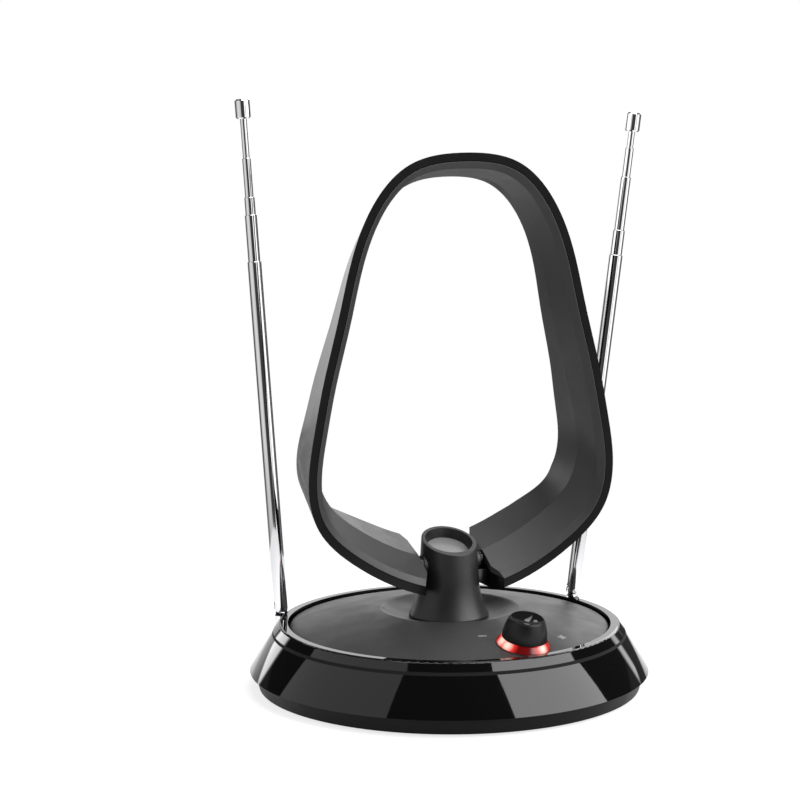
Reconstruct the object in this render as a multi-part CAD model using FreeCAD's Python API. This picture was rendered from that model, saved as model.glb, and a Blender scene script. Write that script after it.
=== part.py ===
import FreeCAD, Part
import math
import os

# Indoor television antenna: a round weighted base with an amplifier inside, a swivelling column
# that carries a tilting loop, and two telescopic rods on swivel feet at the back.
# Frame: millimetres, +Z up, origin on the table under the base's centre, front towards -Y.

os.makedirs("parts", exist_ok=True)

V = FreeCAD.Vector
ORIGIN = V(0, 0, 0)
X_AXIS = V(1, 0, 0)
Y_AXIS = V(0, 1, 0)
UP = V(0, 0, 1)

# Shared fits
RUN_FIT = 0.05
FACE_GAP = 0.15
SKIN_GAP = 0.3
REACH = 300.0
PAST = 1.0

# Pan-head screws, as shares of the head's radius and height
SCREW_SIDE = 0.5
SCREW_BULGE = 0.87
SCREW_CROWN = 0.6
SCREW_SLOT = 0.16
SCREW_ARM = 0.62

# Tray under the base
PAD_PROUD = 1.0
TRAY_FLOOR = 2.4
TRAY_WALL = 2.2
TRAY_TOP_IN = 2.4
TRAY_TAPER = 2.1
TRAY_HEIGHT = 7.8
BASE_PAD_IN = 23.5
BASE_PAD_SEAT = 0.8
BASE_PAD_EDGE = 0.5

# Glossy bezel with its two slopes, the narrow step between them and the raised lip
BEZEL_R = 100.0
CREASE_IN = 11.7
CREASE_RISE = 19.7
CREASE_STEP = 1.6
CREASE_STEP_IN = 0.4
LIP_IN = 2.8
LIP_RISE = 4.0
LIP_ROUND = 1.3
LIP_DROP = 0.5
LIP_BULGE = 0.12
LIP_WIDTH = 3.3
BEZEL_WALL = 2.6
BEZEL_FLANGE = 2.2
BEZEL_FLANGE_IN = 6.5
SHELF_DEPTH = 5.0
SHELF_THICK = 2.0
SHELF_WIDTH = 4.8
POST_R = 3.6
POST_IN = 17.0
POST_ANGLES = (55, 125, 235, 305)
COVER_SCREW_R = 1.4
COVER_SCREW_HEAD_R = 2.8
COVER_SCREW_HEAD = 1.2
COVER_SCREW_LENGTH = 11.0

# Domed dish with the hollow that the column stands in
DISH_GAP = 0.9
DISH_SINK = 1.65
DISH_EDGE_ROUND = 1.5
DISH_WALL = 2.2
DISH_RIM = 2.5
DOME_BULGE = 1.0
HOLLOW_R = 34.0
HOLLOW_RISE = 8.85
HOLLOW_DEPTH = 4.5
HOLLOW_SAG = 0.9
HOLLOW_EDGE_ROUND = 3.0
HOLLOW_FLOOR_MARGIN = 0.6

# Gain control on the dish
KNOB_IN = 14.0
KNOB_ANGLE = 17.5
PAD_R = 13.6
PAD_THICK = 3.0
LIGHT_RING_R = 13.1
LIGHT_RING_TOP_R = 11.3
LIGHT_RING_BORE_R = 8.6
LIGHT_RING_HEIGHT = 2.9
LIGHT_RING_EDGE = 0.5
KNOB_SKIRT_R = 10.9
KNOB_TOP_R = 8.6
KNOB_HEIGHT = 10.2
KNOB_BULGE = 0.45
KNOB_HUB_R = 4.8
KNOB_WALL = 1.6
KNOB_ROOF = 3.6
KNOB_RIM_ROUND = 0.6
CAP_R = 7.6
CAP_THICK = 1.5
CAP_DISH = 1.0
SHAFT_R = 3.0
SHAFT_FLAT = 2.2
SHAFT_LENGTH = 14.5
SHAFT_TAIL = 5.0
BUSHING_R = 3.5
BUSHING_RISE = 2.6
POT_R = 8.0
POT_DEPTH = 7.0
POT_NUT_ACROSS = 10.0
POT_NUT_THICK = 2.0
LED_R = 1.5
LED_FLANGE_R = 1.8
LED_LENGTH = 6.5
LED_CIRCLE_R = 10.8
LED_SINK = 0.2

# Circuit board, its screen and its sockets
BOARD_WIDTH = 64.0
BOARD_DEPTH = 46.0
BOARD_THICK = 1.6
BOARD_LIFT = 5.1
BOARD_BACK_IN = 19.0
BOARD_HOLE_INSET = 4.0
BOARD_BOSS_R = 3.0
BOARD_SCREW_R = 1.1
BOARD_SCREW_HEAD_R = 2.2
BOARD_SCREW_HEAD = 1.6
BOARD_SCREW_LENGTH = 6.0
SCREEN_WIDTH = 30.0
SCREEN_DEPTH = 22.0
SCREEN_HEIGHT = 7.0
SCREEN_WALL = 0.5
SCREEN_FRONT = 6.0
PANEL_GAP = 1.0
PANEL_THICK = 2.2
PANEL_WIDTH = 48.0
PANEL_TOP_Z = 23.0
NOTCH_WIDTH = 42.0
NOTCH_TOP_Z = 24.0
SOCKET_SPACING = 20.0
SOCKET_Z = 14.5
SOCKET_BODY_WIDTH = 10.0
SOCKET_BODY_DEPTH = 11.0
SOCKET_HOLE_CLEARANCE = 0.1
COAX_R = 4.75
COAX_LENGTH = 12.0
COAX_ROOT_R = 4.5
COAX_RELIEF = 1.0
COAX_CONTACT_R = 0.6
COAX_CONTACT_DEPTH = 9.0
COAX_NUT_ACROSS = 12.0
COAX_NUT_THICK = 2.0
JACK_NOSE_R = 4.2
JACK_NOSE_PROUD = 0.8
JACK_BORE_R = 2.9
JACK_BORE_DEPTH = 9.0
JACK_PIN_R = 1.0
JACK_PIN_LENGTH = 8.0

# Steel plate that weights the front of the base
BALLAST_IN = 17.5
BALLAST_BACK_Y = 26.0
BALLAST_THICK = 3.0

# Swivelling column
LOOP_TURN = 10.0
COLUMN_FOOT_R = 20.0
COLUMN_FOOT_EDGE = 1.0
COLUMN_NECK_R = 15.1
COLUMN_NECK_RISE = 18.0
COLUMN_FLARE = 1.0
COLUMN_HEAD_R = 13.9
COLUMN_BORE_R = 5.5
HEAD_RISE = 38.3
HEAD_SLOPE = 20.0
HEAD_EDGE_ROUND = 0.6
RECESS_R = 12.0
RECESS_DEPTH = 4.8
BADGE_R = 10.5
BADGE_THICK = 1.2
CAVITY_WIDTH = 16.0
CAVITY_DEPTH = 10.0
CAVITY_DROP = 11.0
SPIGOT_R = 8.0
COLLAR_R = 12.0
COLLAR_THICK = 3.0
SPIGOT_TAIL = 1.0

# Loop pivot
PIVOT_RISE = 26.8
PIVOT_BOSS_R = 5.0
PIVOT_BOSS_X = 15.2
PIVOT_SCREW_R = 1.75
PIVOT_HEAD_R = 3.4
PIVOT_HEAD = 2.2
WASHER_R = 4.6
WASHER_THICK = 0.5
HUB_R = 4.8
HUB_EMBED = 2.0
PIVOT_BITE = 6.5

# Loop: front outer rim, inner crest and back inner rim as half outlines, (x, z) from the top down
LOOP_FRONT_Y = -19.0
LOOP_BACK_Y = 17.0
LOOP_BACK_LEAN = 0.14
LOOP_BACK_LEVEL_Z = 135.0
LOOP_END_X = 17.5
LOOP_END_TOP_Z = 100.0
END_FACET_X = 4.0
END_FACET_Y = 7.0
END_REAR_X = 2.0
END_REAR_Y = 5.0
ARM_TRIM_Z = 85.0
ARM_TRIM_TOP_Z = 103.0
CREST_Y = -2.0
FRONT_RIM = ((0, 266.7), (29.5, 261.3), (55.1, 229.7), (66.5, 189.4), (74.8, 157.5), (79.6, 134.0),
             (82.6, 110.7), (78.5, 89.7), (59.2, 69.5), (24.7, 52.0), (0, 47.0))
BACK_RIM = ((0, 254.4), (21.0, 251.0), (45.0, 223.8), (56.2, 185.5), (63.9, 156.9), (68.2, 136.6),
            (71.4, 116.4), (66.8, 100.0), (44.9, 88.3), (18.3, 78.0), (0, 74.5))
CREST_RIM = ((0, 255.4), (22.4, 251.9), (46.4, 222.6), (56.3, 184.6), (63.6, 156.8), (68.0, 138.0),
             (71.2, 118.0), (66.6, 99.0), (49.0, 82.8), (24.6, 70.1), (0, 63.5))
RIM_WIDTH = 4.0
PARTING_GAP = 0.3
RIDGE_INSET = 7.8
BEVEL_DEPTH = 2.5
BACK_THICK = 2.2
BACK_SPLIT = 1.1
END_BLOCK_X = 31.0
ELEMENT_THICK = 0.7
ELEMENT_FRONT = 4.0
ELEMENT_WIDTH = 12.0
ELEMENT_END_X = 33.0

# Telescopic rods and their swivel feet
ROD_IN = 1.0
ROD_ANGLE = 63.5
ROD_LEANS = {"left": -3.75, "right": 7.2}
ROD_SHOWN = {"left": (23.3, 8.7, 19.3, 19.4), "right": (12.9, 27.5, 15.0, 8.4)}
ROD_R = 3.5
ROD_WALL = 0.35
ROD_FIT = 0.1
ROD_TOP = 177.5
ROD_LENGTHS = (158.0, 156.0, 154.0, 152.0)
ROD_MOUTH_ROUND = 0.2
ROD_FOOT_LENGTH = 8.0
ROD_FOOT_PLUG = 8.0
ROD_CAP_R = 3.8
ROD_CAP_LENGTH = 9.7
ROD_CAP_SOCKET = 6.0
ROD_CAP_CHAMFER = 0.7
TONGUE_THICK = 2.4
TONGUE_R = 3.0
PIN_R = 1.1
SWIVEL_R = 3.5
SWIVEL_TOP_Z = 31.2
POCKET_FLOOR_Z = 21.0
POCKET_BOSS_R = 6.2
POCKET_BOSS_Z = 16.0
STUD_R = 2.2
STUD_NUT_ACROSS = 7.0
STUD_NUT_THICK = 3.0
STUD_TAIL = 0.6

# Radii that follow from the bezel's edge
tray_top_r = BEZEL_R - TRAY_TOP_IN
tray_foot_r = tray_top_r - TRAY_TAPER
base_pad_r = tray_foot_r - BASE_PAD_IN
ballast_r = tray_foot_r - BALLAST_IN
bezel_flange_r = BEZEL_R - BEZEL_FLANGE_IN
crease_r = BEZEL_R - CREASE_IN
lip_r = crease_r - LIP_IN
lip_top_r = lip_r - LIP_ROUND
lip_bore_r = lip_top_r - LIP_WIDTH
shelf_r = lip_bore_r - SHELF_WIDTH
post_circle_r = BEZEL_R - POST_IN
dish_r = lip_bore_r - DISH_GAP
knob_circle_r = dish_r - KNOB_IN
rod_circle_r = crease_r - ROD_IN
board_back_y = BEZEL_R - BOARD_BACK_IN
panel_y = board_back_y + PANEL_GAP
panel_face_y = panel_y + PANEL_THICK
seat_r = COLUMN_FOOT_R + HOLLOW_FLOOR_MARGIN

# Heights that follow from the stack
floor_z = PAD_PROUD + TRAY_FLOOR
bezel_z = PAD_PROUD + TRAY_HEIGHT
crease_z = bezel_z + CREASE_RISE
lip_z = crease_z + LIP_RISE
shelf_z = lip_z - SHELF_DEPTH
dish_z = lip_z - DISH_SINK
hollow_z = dish_z + HOLLOW_RISE
seat_z = hollow_z - HOLLOW_DEPTH
column_z = seat_z + FACE_GAP
head_z = seat_z + HEAD_RISE
pivot_z = seat_z + PIVOT_RISE
board_z = floor_z + BOARD_LIFT
board_top_z = board_z + BOARD_THICK
pin_z = SWIVEL_TOP_Z + SKIN_GAP + ROD_R


def at(r, z):
    return V(r, 0, z)


def polar(radius, degrees, z=0.0):
    turn = math.radians(degrees)
    return V(radius * math.cos(turn), radius * math.sin(turn), z)


def lathe(start, *steps):
    """A solid turned about Z. A step is a point (r, z), or a pair of points for an arc: through, to."""
    edges = []
    here = start
    for step in steps + (start,):
        if isinstance(step[0], tuple):
            through, to = step
            edges.append(Part.Arc(at(*here), at(*through), at(*to)).toShape())
        else:
            to = step
            edges.append(Part.makeLine(at(*here), at(*to)))
        here = to
    return Part.Face(Part.Wire(edges)).revolve(ORIGIN, UP, 360)


def rod(radius, start, end):
    """A round bar from one point to another."""
    return Part.makeCylinder(radius, (end - start).Length, start, end - start)


def block(low, high):
    return Part.makeBox(high.x - low.x, high.y - low.y, high.z - low.z, low)


def hexagon(across, low_z, high_z, bore_r):
    """A hexagon nut about Z with a plain bore."""
    corners = [polar(across / math.sqrt(3), 60 * n, low_z) for n in range(7)]
    nut = Part.Face(Part.makePolygon(corners)).extrude(UP * (high_z - low_z))
    return nut.cut(rod(bore_r, V(0, 0, low_z - PAST), V(0, 0, high_z + PAST)))


def cross_screw(head_r, head, shank_r, length):
    """A pan-head screw with a cross recess: head above z = 0, shank below."""
    crown = (head_r * SCREW_CROWN, head)
    shoulder = (head_r, head * SCREW_SIDE)
    bulge = (head_r * SCREW_BULGE, head * SCREW_BULGE)
    body = lathe((0, -length), (shank_r, -length), (shank_r, 0), (head_r, 0), shoulder, (bulge, crown),
                 (0, head))
    slot = head_r * SCREW_SLOT
    arm = head_r * SCREW_ARM
    sink = head * SCREW_SIDE
    body = body.cut(block(V(-arm, -slot, sink), V(arm, slot, head + PAST)))
    return body.cut(block(V(-slot, -arm, sink), V(slot, arm, head + PAST)))


def moved(shape, place, axis=None, degrees=0.0):
    """A copy turned about an axis through the origin, then moved."""
    copy = shape.copy()
    if axis is not None:
        copy.rotate(ORIGIN, axis, degrees)
    copy.translate(place)
    return copy


def group(shapes):
    return Part.makeCompound(shapes)


def circle_through(p, m, q):
    """Centre and radius of the circle through three points (r, z)."""
    circle = Part.Arc(at(*p), at(*m), at(*q)).toShape().Curve
    return (circle.Center.x, circle.Center.z), circle.Radius


def midway(p, q, rise):
    return ((p[0] + q[0]) / 2, (p[1] + q[1]) / 2 + rise)


def save(name, shape):
    if not shape.isValid():
        raise ValueError(name + " is not a valid solid")
    shape.exportStep("parts/" + name + ".step")


# The dome's section, which the gain control stands square to
dome_edge = (dish_r, dish_z)
hollow_edge = (HOLLOW_R, hollow_z)
dome_mid = midway(hollow_edge, dome_edge, DOME_BULGE)
dome_centre, dome_radius = circle_through(hollow_edge, dome_mid, dome_edge)


def dome_height(r):
    return dome_centre[1] + math.sqrt(dome_radius ** 2 - (r - dome_centre[0]) ** 2)


knob_lean = math.degrees(math.asin((knob_circle_r - dome_centre[0]) / dome_radius))
knob_seat = polar(knob_circle_r, KNOB_ANGLE - 90, dome_height(knob_circle_r))


def on_dome(shape):
    """Takes a shape made about Z to the gain control's place, square to the dome."""
    copy = shape.copy()
    copy.rotate(ORIGIN, X_AXIS, knob_lean)
    copy.rotate(ORIGIN, UP, KNOB_ANGLE)
    copy.translate(knob_seat)
    return copy


def turned(shape):
    """Takes a shape of the column or loop to the way that the column is turned."""
    copy = shape.copy()
    copy.rotate(ORIGIN, UP, LOOP_TURN)
    return copy


# Tray, non-slip pad and cover screws

def tray():
    body = lathe((0, PAD_PROUD), (tray_foot_r, PAD_PROUD), (tray_top_r, bezel_z),
                 (tray_top_r - TRAY_WALL, bezel_z), (tray_foot_r - TRAY_WALL, floor_z), (0, floor_z))
    notch = block(V(-NOTCH_WIDTH / 2, panel_face_y, floor_z), V(NOTCH_WIDTH / 2, BEZEL_R, bezel_z + PAST))
    panel = block(V(-PANEL_WIDTH / 2, panel_y, floor_z - PAST), V(PANEL_WIDTH / 2, panel_face_y, PANEL_TOP_Z))
    body = body.cut(notch).fuse(panel)
    for place in board_holes(0):
        body = body.fuse(rod(BOARD_BOSS_R, place + UP * (floor_z - PAST), place + UP * board_z))
    for place in board_holes(0):
        body = body.cut(rod(BOARD_SCREW_R, place + UP * floor_z, place + UP * (board_z + PAST)))
    body = body.cut(rod(base_pad_r, ORIGIN, UP * (PAD_PROUD + BASE_PAD_SEAT)))
    for degrees in POST_ANGLES:
        spot = polar(post_circle_r, degrees)
        head_z = PAD_PROUD + COVER_SCREW_HEAD + SKIN_GAP
        body = body.cut(rod(COVER_SCREW_HEAD_R + SKIN_GAP, spot, spot + UP * head_z))
        body = body.cut(rod(COVER_SCREW_R + SKIN_GAP, spot, spot + UP * (floor_z + PAST)))
    for x, hole_r in ((-SOCKET_SPACING / 2, COAX_R), (SOCKET_SPACING / 2, JACK_NOSE_R)):
        start = V(x, panel_y - PAST, SOCKET_Z)
        body = body.cut(rod(hole_r + SOCKET_HOLE_CLEARANCE, start, V(x, panel_face_y + PAST, SOCKET_Z)))
    return body.removeSplitter()


def base_pad():
    top_z = PAD_PROUD + BASE_PAD_SEAT
    return lathe((0, 0), (base_pad_r - BASE_PAD_EDGE, 0), (base_pad_r, BASE_PAD_EDGE), (base_pad_r, top_z),
                 (0, top_z))


def cover_screws():
    one = cross_screw(COVER_SCREW_HEAD_R, COVER_SCREW_HEAD, COVER_SCREW_R, COVER_SCREW_LENGTH)
    head_z = PAD_PROUD + COVER_SCREW_HEAD + SKIN_GAP
    return group([moved(one, polar(post_circle_r, degrees, head_z), X_AXIS, 180) for degrees in POST_ANGLES])


# Bezel, with posts for the cover screws and pockets for the rods' feet

crease = (crease_r, crease_z)
step_edge = (crease_r + CREASE_STEP_IN, crease_z - CREASE_STEP)
lip_edge = (lip_r, lip_z - LIP_DROP)
lip_top = (lip_top_r, lip_z)
lip_round = (midway(lip_edge, lip_top, LIP_BULGE), lip_top)


def bezel_envelope():
    return lathe((0, bezel_z), (BEZEL_R, bezel_z), step_edge, crease, lip_edge, lip_round, (0, lip_z))


def bezel():
    slope = (BEZEL_R - crease_r) / CREASE_RISE
    skin = BEZEL_WALL * math.hypot(1, slope)
    shelf_low = shelf_z - SHELF_THICK
    flange_top = bezel_z + BEZEL_FLANGE
    skin_low = BEZEL_R - skin - slope * BEZEL_FLANGE
    skin_top = BEZEL_R - skin - slope * (shelf_low - bezel_z)
    body = lathe((bezel_flange_r, bezel_z), (BEZEL_R, bezel_z), step_edge, crease, lip_edge, lip_round,
                 (lip_bore_r, lip_z), (lip_bore_r, shelf_z), (shelf_r, shelf_z), (shelf_r, shelf_low),
                 (skin_top, shelf_low), (skin_low, flange_top), (bezel_flange_r, flange_top))
    notch = block(V(-NOTCH_WIDTH / 2, panel_face_y, bezel_z - PAST),
                  V(NOTCH_WIDTH / 2, BEZEL_R + PAST, NOTCH_TOP_Z))
    body = body.cut(notch)
    for degrees in POST_ANGLES:
        spot = polar(post_circle_r, degrees)
        body = body.fuse(rod(POST_R, spot + UP * floor_z, spot + UP * shelf_z))
    envelope = bezel_envelope()
    for side in (-1, 1):
        spot = rod_place(side)
        boss = rod(POCKET_BOSS_R, spot + UP * POCKET_BOSS_Z, spot + UP * lip_z)
        body = body.fuse(boss.common(envelope))
    body = body.cut(rod(lip_bore_r, UP * shelf_z, UP * (lip_z + PAST)))
    for degrees in POST_ANGLES:
        spot = polar(post_circle_r, degrees)
        screw_top = PAD_PROUD + COVER_SCREW_HEAD + SKIN_GAP + COVER_SCREW_LENGTH
        body = body.cut(rod(COVER_SCREW_R, spot, spot + UP * (screw_top + PAST)))
    for side in (-1, 1):
        spot = rod_place(side)
        body = body.cut(rod(SWIVEL_R + SKIN_GAP, spot + UP * POCKET_FLOOR_Z, spot + UP * (lip_z + PAST)))
        body = body.cut(rod(STUD_R + RUN_FIT, spot, spot + UP * (POCKET_FLOOR_Z + PAST)))
    return body.removeSplitter()


# Dish

def dish():
    floor_edge = (seat_r, seat_z)
    sag = midway(floor_edge, hollow_edge, -HOLLOW_SAG)
    drop = DISH_WALL
    rim_r = dish_r - DISH_RIM
    under_edge = (rim_r, dome_height(rim_r) - drop)
    under_mid_r = (rim_r + HOLLOW_R) / 2
    body = lathe((SPIGOT_R + RUN_FIT, seat_z), floor_edge, (sag, hollow_edge), (dome_mid, dome_edge),
                 (dish_r, shelf_z), (rim_r, shelf_z), under_edge,
                 ((under_mid_r, dome_height(under_mid_r) - drop), (HOLLOW_R, hollow_z - drop)),
                 ((sag[0], sag[1] - drop), (seat_r, seat_z - drop)), (SPIGOT_R + RUN_FIT, seat_z - drop))
    crests = [e for e in body.Edges if abs(e.BoundBox.ZMax - hollow_z) < 0.01 and e.BoundBox.ZLength < 0.01]
    body = body.makeFillet(HOLLOW_EDGE_ROUND, crests)
    rims = [e for e in body.Edges if abs(e.BoundBox.ZMin - dish_z) < 0.01 and e.BoundBox.XMax > dish_r - 0.01]
    body = body.makeFillet(DISH_EDGE_ROUND, rims)
    body = body.fuse(on_dome(rod(PAD_R, V(0, 0, -PAD_THICK), ORIGIN)))
    body = body.cut(on_dome(rod(PAD_R, ORIGIN, V(0, 0, PAD_THICK))))
    body = body.cut(on_dome(rod(BUSHING_R + SKIN_GAP, V(0, 0, -2 * PAD_THICK), V(0, 0, PAD_THICK))))
    for x in (-LED_CIRCLE_R, LED_CIRCLE_R):
        body = body.cut(on_dome(rod(LED_R, V(x, 0, -2 * PAD_THICK), V(x, 0, PAD_THICK))))
    return body.removeSplitter()


# Gain control, made about Z with the dish's face at z = 0

def light_ring():
    return on_dome(lathe((LIGHT_RING_BORE_R, 0), (LIGHT_RING_R, 0), (LIGHT_RING_R, LIGHT_RING_EDGE),
                         (LIGHT_RING_TOP_R, LIGHT_RING_HEIGHT), (LIGHT_RING_BORE_R, LIGHT_RING_HEIGHT)))


def shaft_section(radius, low_z, high_z):
    bar = rod(radius, V(0, 0, low_z), V(0, 0, high_z))
    return bar.cut(block(V(SHAFT_FLAT, -radius, low_z), V(2 * radius, radius, high_z)))


knob_low = LIGHT_RING_HEIGHT + SKIN_GAP
knob_top = knob_low + KNOB_HEIGHT
shaft_top = SHAFT_LENGTH - SHAFT_TAIL


def knob():
    seat_top = knob_top - CAP_THICK
    belly = midway((KNOB_SKIRT_R, knob_low), (KNOB_TOP_R, knob_top), 0)
    body = lathe((0, knob_low), (KNOB_SKIRT_R, knob_low),
                 ((belly[0] + KNOB_BULGE, belly[1]), (KNOB_TOP_R, knob_top - KNOB_RIM_ROUND)),
                 (KNOB_TOP_R - KNOB_RIM_ROUND, knob_top), (CAP_R, knob_top), (CAP_R, seat_top), (0, seat_top))
    well_top = knob_top - KNOB_ROOF
    well = lathe((KNOB_HUB_R, knob_low - PAST), (KNOB_SKIRT_R - KNOB_WALL, knob_low - PAST),
                 (KNOB_TOP_R - KNOB_WALL, well_top), (KNOB_HUB_R, well_top))
    return on_dome(body.cut(well).cut(shaft_section(SHAFT_R, knob_low - PAST, shaft_top)))


def knob_cap():
    disc = rod(CAP_R, V(0, 0, knob_top - CAP_THICK), V(0, 0, knob_top))
    ball_r = (CAP_R ** 2 + CAP_DISH ** 2) / (2 * CAP_DISH)
    return on_dome(disc.cut(Part.makeSphere(ball_r, V(0, 0, knob_top - CAP_DISH + ball_r))))


def gain_shaft():
    tail = rod(SHAFT_R, V(0, 0, -SHAFT_TAIL), V(0, 0, knob_low))
    return on_dome(tail.fuse(shaft_section(SHAFT_R, knob_low, shaft_top)))


def gain_pot():
    low = -PAD_THICK - POT_DEPTH
    case = rod(POT_R, V(0, 0, low), V(0, 0, -PAD_THICK))
    body = case.fuse(rod(BUSHING_R, V(0, 0, -2 * PAD_THICK), V(0, 0, BUSHING_RISE)))
    bore = rod(SHAFT_R + RUN_FIT, V(0, 0, -SHAFT_TAIL - FACE_GAP), V(0, 0, BUSHING_RISE + PAST))
    return on_dome(body.cut(bore))


def gain_pot_nut():
    return on_dome(hexagon(POT_NUT_ACROSS, 0, POT_NUT_THICK, BUSHING_R))


def indicator_leds():
    tip = -LED_SINK
    bulb = tip - LED_R
    slant = LED_R * math.sqrt(0.5)
    one = lathe((0, tip - LED_LENGTH), (LED_FLANGE_R, tip - LED_LENGTH), (LED_FLANGE_R, -PAD_THICK),
                (LED_R, -PAD_THICK), (LED_R, bulb), ((slant, bulb + slant), (0, tip)))
    return group([on_dome(moved(one, V(x, 0, 0))) for x in (-LED_CIRCLE_R, LED_CIRCLE_R)])


# Circuit board and sockets

def board_holes(z):
    x = BOARD_WIDTH / 2 - BOARD_HOLE_INSET
    back = board_back_y - BOARD_HOLE_INSET
    front = board_back_y - BOARD_DEPTH + BOARD_HOLE_INSET
    return [V(sx * x, y, z) for y in (front, back) for sx in (-1, 1)]


def circuit_board():
    half = BOARD_WIDTH / 2
    board = block(V(-half, board_back_y - BOARD_DEPTH, board_z), V(half, board_back_y, board_top_z))
    for place in board_holes(board_z):
        board = board.cut(rod(BOARD_SCREW_R + SKIN_GAP, place - UP * PAST, place + UP * (BOARD_THICK + PAST)))
    return board


def board_screws():
    one = cross_screw(BOARD_SCREW_HEAD_R, BOARD_SCREW_HEAD, BOARD_SCREW_R, BOARD_SCREW_LENGTH)
    return group([moved(one, place) for place in board_holes(board_top_z)])


def shield_can():
    front = board_back_y - BOARD_DEPTH + SCREEN_FRONT
    low = V(-SCREEN_WIDTH / 2, front, board_top_z)
    high = V(SCREEN_WIDTH / 2, front + SCREEN_DEPTH, board_top_z + SCREEN_HEIGHT)
    wall = V(SCREEN_WALL, SCREEN_WALL, 0)
    return block(low, high).cut(block(low + wall - UP * PAST, high - wall - UP * SCREEN_WALL))


def socket_body(x):
    """The moulded block behind the panel that stands on the board."""
    half = SOCKET_BODY_WIDTH / 2
    low = V(x - half, panel_y - SOCKET_BODY_DEPTH, board_top_z)
    return block(low, V(x + half, panel_y, SOCKET_Z + half))


def along_y(shape, x, y):
    """Takes a shape made about Z to the panel, with its Z along +Y."""
    return moved(shape, V(x, y, SOCKET_Z), X_AXIS, -90)


def coax_socket():
    x = -SOCKET_SPACING / 2
    thread_low = COAX_NUT_THICK + COAX_RELIEF
    root = rod(COAX_ROOT_R, V(0, 0, -PANEL_THICK - PAST), V(0, 0, thread_low))
    barrel = root.fuse(rod(COAX_R, V(0, 0, thread_low), V(0, 0, COAX_LENGTH)))
    body = socket_body(x).fuse(along_y(barrel, x, panel_face_y))
    contact_low = COAX_LENGTH - COAX_CONTACT_DEPTH
    contact = rod(COAX_CONTACT_R, V(0, 0, contact_low), V(0, 0, COAX_LENGTH + PAST))
    return body.cut(along_y(contact, x, panel_face_y))


def coax_nut():
    nut = hexagon(COAX_NUT_ACROSS, 0, COAX_NUT_THICK, COAX_ROOT_R)
    return along_y(nut, -SOCKET_SPACING / 2, panel_face_y)


def power_jack():
    x = SOCKET_SPACING / 2
    nose = rod(JACK_NOSE_R, V(0, 0, -PANEL_THICK - PAST), V(0, 0, JACK_NOSE_PROUD))
    body = socket_body(x).fuse(along_y(nose, x, panel_face_y))
    bore = rod(JACK_BORE_R, V(0, 0, JACK_NOSE_PROUD - JACK_BORE_DEPTH), V(0, 0, JACK_NOSE_PROUD + PAST))
    return body.cut(along_y(bore, x, panel_face_y))


def power_jack_pin():
    low = JACK_NOSE_PROUD - JACK_BORE_DEPTH
    tip = low + JACK_PIN_LENGTH
    point = JACK_PIN_R / 2
    pin = lathe((0, low), (JACK_PIN_R, low), (JACK_PIN_R, tip - point), (point, tip), (0, tip))
    return along_y(pin, SOCKET_SPACING / 2, panel_face_y)


def ballast_plate():
    plate = rod(ballast_r, V(0, 0, floor_z), V(0, 0, floor_z + BALLAST_THICK))
    behind = block(V(-REACH, BALLAST_BACK_Y, 0), V(REACH, REACH, REACH))
    return plate.cut(behind)


# Column, made facing -Y and then turned

head_axis = V(0, -math.sin(math.radians(HEAD_SLOPE)), math.cos(math.radians(HEAD_SLOPE)))


def on_head(shape):
    """Takes a shape made about Z, with the head's face at z = 0, to the sloping head."""
    return moved(shape, V(0, 0, head_z), X_AXIS, HEAD_SLOPE)


def column():
    neck_z = column_z + COLUMN_NECK_RISE
    foot_z = column_z + COLUMN_FOOT_EDGE
    spigot_z = seat_z - DISH_WALL - FACE_GAP - COLLAR_THICK - SPIGOT_TAIL
    waist = midway((COLUMN_FOOT_R, foot_z), (COLUMN_NECK_R, neck_z), 0)
    taper = (COLUMN_NECK_R - COLUMN_HEAD_R) / (head_z - neck_z)
    peak_z = head_z + COLUMN_HEAD_R
    peak_r = COLUMN_HEAD_R - taper * COLUMN_HEAD_R
    body = lathe((COLUMN_BORE_R, spigot_z), (SPIGOT_R, spigot_z), (SPIGOT_R, column_z),
                 (COLUMN_FOOT_R, column_z), (COLUMN_FOOT_R, foot_z),
                 ((waist[0] - COLUMN_FLARE, waist[1]), (COLUMN_NECK_R, neck_z)),
                 (peak_r, peak_z), (COLUMN_BORE_R, peak_z))
    body = body.cut(on_head(block(V(-REACH, -REACH, 0), V(REACH, REACH, REACH))))
    body = body.makeFillet(HEAD_EDGE_ROUND, outer_head_edges(body))
    body = body.fuse(rod(PIVOT_BOSS_R, V(-PIVOT_BOSS_X, 0, pivot_z), V(PIVOT_BOSS_X, 0, pivot_z)))
    recess = lathe((0, PAST), (RECESS_R, PAST), (RECESS_R, 0), (BADGE_R, -RECESS_DEPTH),
                   (BADGE_R, -RECESS_DEPTH - BADGE_THICK), (0, -RECESS_DEPTH - BADGE_THICK))
    body = body.cut(on_head(recess))
    cavity = block(V(-CAVITY_WIDTH / 2, -CAVITY_DEPTH / 2, pivot_z - CAVITY_DROP),
                   V(CAVITY_WIDTH / 2, CAVITY_DEPTH / 2, head_z - RECESS_DEPTH))
    bore = rod(PIVOT_SCREW_R + RUN_FIT, V(-REACH, 0, pivot_z), V(REACH, 0, pivot_z))
    return turned(body.cut(cavity).cut(bore).removeSplitter())


def outer_head_edges(body):
    """The edge where the sloping cut meets the outside of the head."""
    found = []
    for edge in body.Edges:
        middle = edge.valueAt((edge.FirstParameter + edge.LastParameter) / 2)
        on_cut = abs((middle - V(0, 0, head_z)).dot(head_axis)) < 0.01
        if on_cut and math.hypot(middle.x, middle.y) > RECESS_R:
            found.append(edge)
    return found


def column_badge():
    low = -RECESS_DEPTH - BADGE_THICK
    return turned(on_head(rod(BADGE_R, V(0, 0, low), V(0, 0, -RECESS_DEPTH))))


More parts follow.
